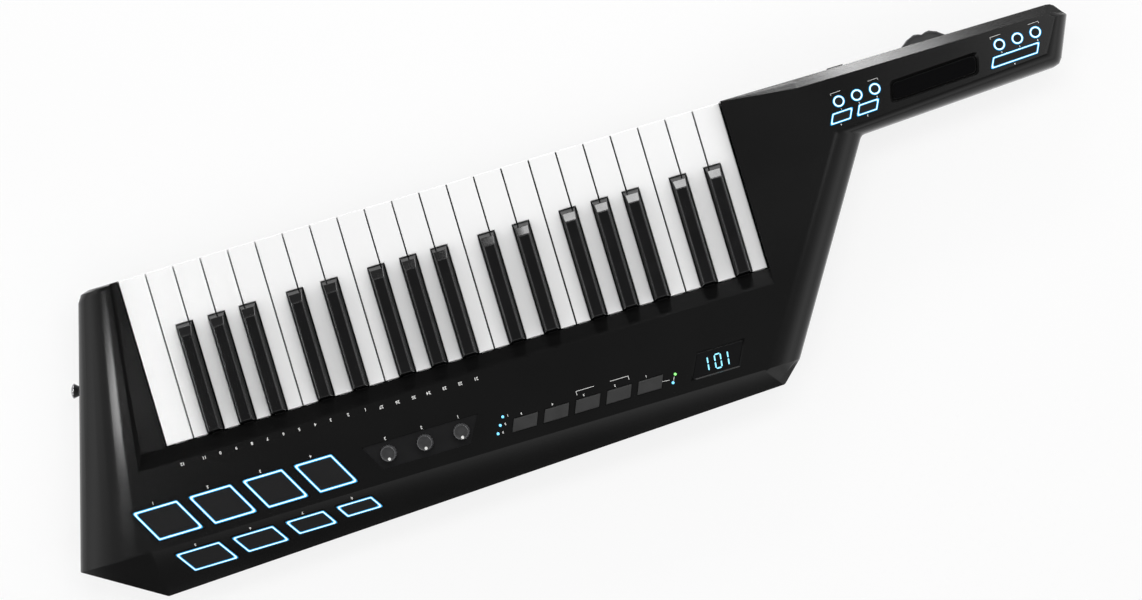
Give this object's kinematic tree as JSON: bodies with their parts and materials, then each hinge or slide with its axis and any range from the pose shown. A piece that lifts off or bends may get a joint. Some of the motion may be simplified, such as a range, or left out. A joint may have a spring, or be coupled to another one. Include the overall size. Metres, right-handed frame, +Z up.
{
  "type": "keytar",
  "caption": "Shoulder-worn keyboard with a slanted black body, full-size keys, drum pads, knobs and a neck with a pitch wheel.",
  "frame": {"origin": "middle of the instrument's box on the table that its back lies on", "axes": "+X along the keyboard from the low keys to the neck, +Y from the pads to the fronts of the white keys, +Z up out of the keys"},
  "size_m": [0.9138, 0.2696, 0.0662],
  "materials": {
    "case": "satin black moulded ABS",
    "white_key": "polished white moulded ABS",
    "black_key": "polished black moulded ABS",
    "chassis": "moulded grey ABS",
    "pad": "matt moulded silicone",
    "knob": "fine-textured moulded ABS",
    "button": "satin moulded ABS",
    "window": "smoked polished acrylic",
    "touch_strip": "matt printed polyester film",
    "board": "green solder mask on glass-epoxy board",
    "strap_pin": "nickel-plated turned steel",
    "wheel": "moulded ABS"
  },
  "bodies": {
    "case": {"key_chassis": "chassis", "front_cover": "case", "upper_pad_mat": "pad", "lower_pad_mat": "pad", "inner_neck_keypad": "pad", "outer_neck_keypad": "pad", "touch_strip": "touch_strip", "display_window": "window", "main_board": "board", "rear_cover": "case", "end_strap_pin": "strap_pin", "neck_strap_pin": "strap_pin", "battery_door": "case"},
    "white_key_01": {"white_key_01": "white_key"},
    "white_key_02": {"white_key_02": "white_key"},
    "white_key_03": {"white_key_03": "white_key"},
    "white_key_04": {"white_key_04": "white_key"},
    "white_key_05": {"white_key_05": "white_key"},
    "white_key_06": {"white_key_06": "white_key"},
    "white_key_07": {"white_key_07": "white_key"},
    "white_key_08": {"white_key_08": "white_key"},
    "white_key_09": {"white_key_09": "white_key"},
    "white_key_10": {"white_key_10": "white_key"},
    "white_key_11": {"white_key_11": "white_key"},
    "white_key_12": {"white_key_12": "white_key"},
    "white_key_13": {"white_key_13": "white_key"},
    "white_key_14": {"white_key_14": "white_key"},
    "white_key_15": {"white_key_15": "white_key"},
    "white_key_16": {"white_key_16": "white_key"},
    "white_key_17": {"white_key_17": "white_key"},
    "white_key_18": {"white_key_18": "white_key"},
    "white_key_19": {"white_key_19": "white_key"},
    "white_key_20": {"white_key_20": "white_key"},
    "white_key_21": {"white_key_21": "white_key"},
    "white_key_22": {"white_key_22": "white_key"},
    "black_key_01": {"black_key_01": "black_key"},
    "black_key_02": {"black_key_02": "black_key"},
    "black_key_03": {"black_key_03": "black_key"},
    "black_key_04": {"black_key_04": "black_key"},
    "black_key_05": {"black_key_05": "black_key"},
    "black_key_06": {"black_key_06": "black_key"},
    "black_key_07": {"black_key_07": "black_key"},
    "black_key_08": {"black_key_08": "black_key"},
    "black_key_09": {"black_key_09": "black_key"},
    "black_key_10": {"black_key_10": "black_key"},
    "black_key_11": {"black_key_11": "black_key"},
    "black_key_12": {"black_key_12": "black_key"},
    "black_key_13": {"black_key_13": "black_key"},
    "black_key_14": {"black_key_14": "black_key"},
    "black_key_15": {"black_key_15": "black_key"},
    "knob_1": {"knob_1": "knob"},
    "knob_2": {"knob_2": "knob"},
    "knob_3": {"knob_3": "knob"},
    "panel_button_1": {"panel_button_1": "button"},
    "panel_button_2": {"panel_button_2": "button"},
    "panel_button_3": {"panel_button_3": "button"},
    "panel_button_4": {"panel_button_4": "button"},
    "panel_button_5": {"panel_button_5": "button"},
    "pitch_wheel": {"pitch_wheel": "wheel"},
    "sustain_button": {"sustain_button": "button"}
  },
  "joints": [
    {"name": "white_key_01_hinge", "type": "hinge", "parent": "case", "child": "white_key_01", "pos_m": [-0.34511, -0.04943, 0.039], "axis": [-1, 0, 0], "range_deg": [0, 3.2], "stiffness_Nm_per_rad": 0.6, "springref_deg": -6.88},
    {"name": "white_key_02_hinge", "type": "hinge", "parent": "case", "child": "white_key_02", "pos_m": [-0.32703, -0.04943, 0.039], "axis": [-1, 0, 0], "range_deg": [0, 3.2], "stiffness_Nm_per_rad": 0.6, "springref_deg": -6.88},
    {"name": "white_key_03_hinge", "type": "hinge", "parent": "case", "child": "white_key_03", "pos_m": [-0.3001, -0.04943, 0.039], "axis": [-1, 0, 0], "range_deg": [0, 3.2], "stiffness_Nm_per_rad": 0.6, "springref_deg": -6.88},
    {"name": "white_key_04_hinge", "type": "hinge", "parent": "case", "child": "white_key_04", "pos_m": [-0.27301, -0.04943, 0.039], "axis": [-1, 0, 0], "range_deg": [0, 3.2], "stiffness_Nm_per_rad": 0.6, "springref_deg": -6.88},
    {"name": "white_key_05_hinge", "type": "hinge", "parent": "case", "child": "white_key_05", "pos_m": [-0.24608, -0.04943, 0.039], "axis": [-1, 0, 0], "range_deg": [0, 3.2], "stiffness_Nm_per_rad": 0.6, "springref_deg": -6.88},
    {"name": "white_key_06_hinge", "type": "hinge", "parent": "case", "child": "white_key_06", "pos_m": [-0.23268, -0.04943, 0.039], "axis": [-1, 0, 0], "range_deg": [0, 3.2], "stiffness_Nm_per_rad": 0.6, "springref_deg": -6.88},
    {"name": "white_key_07_hinge", "type": "hinge", "parent": "case", "child": "white_key_07", "pos_m": [-0.20431, -0.04943, 0.039], "axis": [-1, 0, 0], "range_deg": [0, 3.2], "stiffness_Nm_per_rad": 0.6, "springref_deg": -6.88},
    {"name": "white_key_08_hinge", "type": "hinge", "parent": "case", "child": "white_key_08", "pos_m": [-0.17574, -0.04943, 0.039], "axis": [-1, 0, 0], "range_deg": [0, 3.2], "stiffness_Nm_per_rad": 0.6, "springref_deg": -6.88},
    {"name": "white_key_09_hinge", "type": "hinge", "parent": "case", "child": "white_key_09", "pos_m": [-0.16253, -0.04943, 0.039], "axis": [-1, 0, 0], "range_deg": [0, 3.2], "stiffness_Nm_per_rad": 0.6, "springref_deg": -6.88},
    {"name": "white_key_10_hinge", "type": "hinge", "parent": "case", "child": "white_key_10", "pos_m": [-0.1356, -0.04943, 0.039], "axis": [-1, 0, 0], "range_deg": [0, 3.2], "stiffness_Nm_per_rad": 0.6, "springref_deg": -6.88},
    {"name": "white_key_11_hinge", "type": "hinge", "parent": "case", "child": "white_key_11", "pos_m": [-0.10851, -0.04943, 0.039], "axis": [-1, 0, 0], "range_deg": [0, 3.2], "stiffness_Nm_per_rad": 0.6, "springref_deg": -6.88},
    {"name": "white_key_12_hinge", "type": "hinge", "parent": "case", "child": "white_key_12", "pos_m": [-0.08158, -0.04943, 0.039], "axis": [-1, 0, 0], "range_deg": [0, 3.2], "stiffness_Nm_per_rad": 0.6, "springref_deg": -6.88},
    {"name": "white_key_13_hinge", "type": "hinge", "parent": "case", "child": "white_key_13", "pos_m": [-0.06818, -0.04943, 0.039], "axis": [-1, 0, 0], "range_deg": [0, 3.2], "stiffness_Nm_per_rad": 0.6, "springref_deg": -6.88},
    {"name": "white_key_14_hinge", "type": "hinge", "parent": "case", "child": "white_key_14", "pos_m": [-0.03981, -0.04943, 0.039], "axis": [-1, 0, 0], "range_deg": [0, 3.2], "stiffness_Nm_per_rad": 0.6, "springref_deg": -6.88},
    {"name": "white_key_15_hinge", "type": "hinge", "parent": "case", "child": "white_key_15", "pos_m": [-0.01124, -0.04943, 0.039], "axis": [-1, 0, 0], "range_deg": [0, 3.2], "stiffness_Nm_per_rad": 0.6, "springref_deg": -6.88},
    {"name": "white_key_16_hinge", "type": "hinge", "parent": "case", "child": "white_key_16", "pos_m": [0.00197, -0.04943, 0.039], "axis": [-1, 0, 0], "range_deg": [0, 3.2], "stiffness_Nm_per_rad": 0.6, "springref_deg": -6.88},
    {"name": "white_key_17_hinge", "type": "hinge", "parent": "case", "child": "white_key_17", "pos_m": [0.0289, -0.04943, 0.039], "axis": [-1, 0, 0], "range_deg": [0, 3.2], "stiffness_Nm_per_rad": 0.6, "springref_deg": -6.88},
    {"name": "white_key_18_hinge", "type": "hinge", "parent": "case", "child": "white_key_18", "pos_m": [0.05599, -0.04943, 0.039], "axis": [-1, 0, 0], "range_deg": [0, 3.2], "stiffness_Nm_per_rad": 0.6, "springref_deg": -6.88},
    {"name": "white_key_19_hinge", "type": "hinge", "parent": "case", "child": "white_key_19", "pos_m": [0.08292, -0.04943, 0.039], "axis": [-1, 0, 0], "range_deg": [0, 3.2], "stiffness_Nm_per_rad": 0.6, "springref_deg": -6.88},
    {"name": "white_key_20_hinge", "type": "hinge", "parent": "case", "child": "white_key_20", "pos_m": [0.09632, -0.04943, 0.039], "axis": [-1, 0, 0], "range_deg": [0, 3.2], "stiffness_Nm_per_rad": 0.6, "springref_deg": -6.88},
    {"name": "white_key_21_hinge", "type": "hinge", "parent": "case", "child": "white_key_21", "pos_m": [0.12469, -0.04943, 0.039], "axis": [-1, 0, 0], "range_deg": [0, 3.2], "stiffness_Nm_per_rad": 0.6, "springref_deg": -6.88},
    {"name": "white_key_22_hinge", "type": "hinge", "parent": "case", "child": "white_key_22", "pos_m": [0.15326, -0.04943, 0.039], "axis": [-1, 0, 0], "range_deg": [0, 3.2], "stiffness_Nm_per_rad": 0.6, "springref_deg": -6.88},
    {"name": "black_key_01_hinge", "type": "hinge", "parent": "case", "child": "black_key_01", "pos_m": [-0.31385, -0.04943, 0.039], "axis": [-1, 0, 0], "range_deg": [0, 3.2], "stiffness_Nm_per_rad": 0.6, "springref_deg": -6.88},
    {"name": "black_key_02_hinge", "type": "hinge", "parent": "case", "child": "black_key_02", "pos_m": [-0.28636, -0.04943, 0.039], "axis": [-1, 0, 0], "range_deg": [0, 3.2], "stiffness_Nm_per_rad": 0.6, "springref_deg": -6.88},
    {"name": "black_key_03_hinge", "type": "hinge", "parent": "case", "child": "black_key_03", "pos_m": [-0.25966, -0.04943, 0.039], "axis": [-1, 0, 0], "range_deg": [0, 3.2], "stiffness_Nm_per_rad": 0.6, "springref_deg": -6.88},
    {"name": "black_key_04_hinge", "type": "hinge", "parent": "case", "child": "black_key_04", "pos_m": [-0.21915, -0.04943, 0.039], "axis": [-1, 0, 0], "range_deg": [0, 3.2], "stiffness_Nm_per_rad": 0.6, "springref_deg": -6.88},
    {"name": "black_key_05_hinge", "type": "hinge", "parent": "case", "child": "black_key_05", "pos_m": [-0.18947, -0.04943, 0.039], "axis": [-1, 0, 0], "range_deg": [0, 3.2], "stiffness_Nm_per_rad": 0.6, "springref_deg": -6.88},
    {"name": "black_key_06_hinge", "type": "hinge", "parent": "case", "child": "black_key_06", "pos_m": [-0.14935, -0.04943, 0.039], "axis": [-1, 0, 0], "range_deg": [0, 3.2], "stiffness_Nm_per_rad": 0.6, "springref_deg": -6.88},
    {"name": "black_key_07_hinge", "type": "hinge", "parent": "case", "child": "black_key_07", "pos_m": [-0.12186, -0.04943, 0.039], "axis": [-1, 0, 0], "range_deg": [0, 3.2], "stiffness_Nm_per_rad": 0.6, "springref_deg": -6.88},
    {"name": "black_key_08_hinge", "type": "hinge", "parent": "case", "child": "black_key_08", "pos_m": [-0.09516, -0.04943, 0.039], "axis": [-1, 0, 0], "range_deg": [0, 3.2], "stiffness_Nm_per_rad": 0.6, "springref_deg": -6.88},
    {"name": "black_key_09_hinge", "type": "hinge", "parent": "case", "child": "black_key_09", "pos_m": [-0.05465, -0.04943, 0.039], "axis": [-1, 0, 0], "range_deg": [0, 3.2], "stiffness_Nm_per_rad": 0.6, "springref_deg": -6.88},
    {"name": "black_key_10_hinge", "type": "hinge", "parent": "case", "child": "black_key_10", "pos_m": [-0.02497, -0.04943, 0.039], "axis": [-1, 0, 0], "range_deg": [0, 3.2], "stiffness_Nm_per_rad": 0.6, "springref_deg": -6.88},
    {"name": "black_key_11_hinge", "type": "hinge", "parent": "case", "child": "black_key_11", "pos_m": [0.01515, -0.04943, 0.039], "axis": [-1, 0, 0], "range_deg": [0, 3.2], "stiffness_Nm_per_rad": 0.6, "springref_deg": -6.88},
    {"name": "black_key_12_hinge", "type": "hinge", "parent": "case", "child": "black_key_12", "pos_m": [0.04264, -0.04943, 0.039], "axis": [-1, 0, 0], "range_deg": [0, 3.2], "stiffness_Nm_per_rad": 0.6, "springref_deg": -6.88},
    {"name": "black_key_13_hinge", "type": "hinge", "parent": "case", "child": "black_key_13", "pos_m": [0.06934, -0.04943, 0.039], "axis": [-1, 0, 0], "range_deg": [0, 3.2], "stiffness_Nm_per_rad": 0.6, "springref_deg": -6.88},
    {"name": "black_key_14_hinge", "type": "hinge", "parent": "case", "child": "black_key_14", "pos_m": [0.10985, -0.04943, 0.039], "axis": [-1, 0, 0], "range_deg": [0, 3.2], "stiffness_Nm_per_rad": 0.6, "springref_deg": -6.88},
    {"name": "black_key_15_hinge", "type": "hinge", "parent": "case", "child": "black_key_15", "pos_m": [0.13953, -0.04943, 0.039], "axis": [-1, 0, 0], "range_deg": [0, 3.2], "stiffness_Nm_per_rad": 0.6, "springref_deg": -6.88},
    {"name": "knob_1_turn", "type": "hinge", "parent": "case", "child": "knob_1", "pos_m": [-0.18256, -0.07243, 0.056], "axis": [0, 0, 1], "range_deg": [-140, 140]},
    {"name": "knob_2_turn", "type": "hinge", "parent": "case", "child": "knob_2", "pos_m": [-0.15136, -0.07243, 0.056], "axis": [0, 0, 1], "range_deg": [-140, 140]},
    {"name": "knob_3_turn", "type": "hinge", "parent": "case", "child": "knob_3", "pos_m": [-0.12016, -0.07243, 0.056], "axis": [0, 0, 1], "range_deg": [-140, 140]},
    {"name": "panel_button_1_press", "type": "slide", "parent": "case", "child": "panel_button_1", "axis": [0, 0, -1], "range_m": [0, 0.001], "stiffness_N_per_m": 300, "springref_m": -0.001},
    {"name": "panel_button_2_press", "type": "slide", "parent": "case", "child": "panel_button_2", "axis": [0, 0, -1], "range_m": [0, 0.001], "stiffness_N_per_m": 300, "springref_m": -0.001},
    {"name": "panel_button_3_press", "type": "slide", "parent": "case", "child": "panel_button_3", "axis": [0, 0, -1], "range_m": [0, 0.001], "stiffness_N_per_m": 300, "springref_m": -0.001},
    {"name": "panel_button_4_press", "type": "slide", "parent": "case", "child": "panel_button_4", "axis": [0, 0, -1], "range_m": [0, 0.001], "stiffness_N_per_m": 300, "springref_m": -0.001},
    {"name": "panel_button_5_press", "type": "slide", "parent": "case", "child": "panel_button_5", "axis": [0, 0, -1], "range_m": [0, 0.001], "stiffness_N_per_m": 300, "springref_m": -0.001},
    {"name": "pitch_wheel_turn", "type": "hinge", "parent": "case", "child": "pitch_wheel", "pos_m": [0.33674, 0.11007, 0.0315], "axis": [0, 0, 1], "range_deg": [-35, 35], "stiffness_Nm_per_rad": 0.02},
    {"name": "sustain_button_press", "type": "slide", "parent": "case", "child": "sustain_button", "axis": [0, -1, 0], "range_m": [0, 0.001], "stiffness_N_per_m": 300, "springref_m": -0.001}
  ]
}
